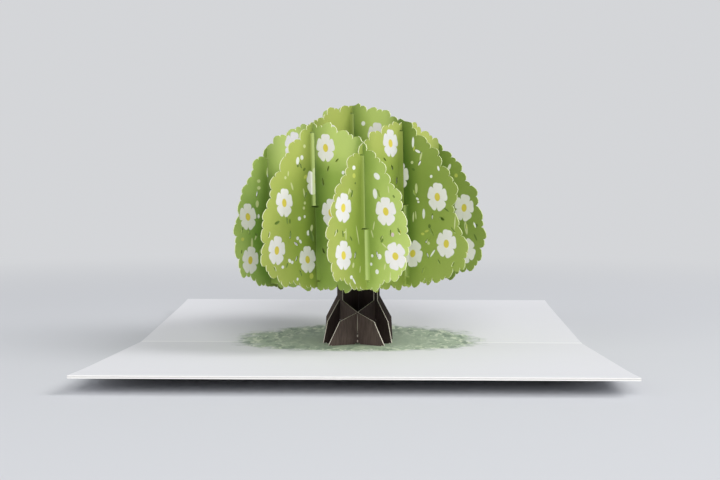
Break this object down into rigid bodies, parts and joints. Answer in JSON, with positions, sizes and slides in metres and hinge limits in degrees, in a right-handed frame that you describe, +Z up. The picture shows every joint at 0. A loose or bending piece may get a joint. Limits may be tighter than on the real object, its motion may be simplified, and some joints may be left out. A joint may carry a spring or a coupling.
{
  "type": "pop up card",
  "caption": "Folded greeting card opened nearly flat, with a slotted paper tree: a scalloped green crown with white flowers on a brown lattice trunk.",
  "frame": {"origin": "under the middle of the card's fold, on the surface that the card rests on", "axes": "+X along the fold, +Y towards the rear leaf, +Z up through the tree"},
  "size_m": [0.178, 0.254, 0.0971],
  "materials": {
    "card_white": "matt",
    "leaf_green": "matt print",
    "bark_brown": "matt print"
  },
  "bodies": {
    "root": {"card_cover": "card_white", "card_liner": "card_white", "trunk_front_left": "bark_brown", "trunk_front_right": "bark_brown", "trunk_rear_left": "bark_brown", "trunk_rear_right": "bark_brown", "crown_a_front": "leaf_green", "crown_a_middle": "leaf_green", "crown_a_rear": "leaf_green", "crown_b_front": "leaf_green", "crown_b_middle": "leaf_green", "crown_b_rear": "leaf_green"}
  },
  "joints": []
}
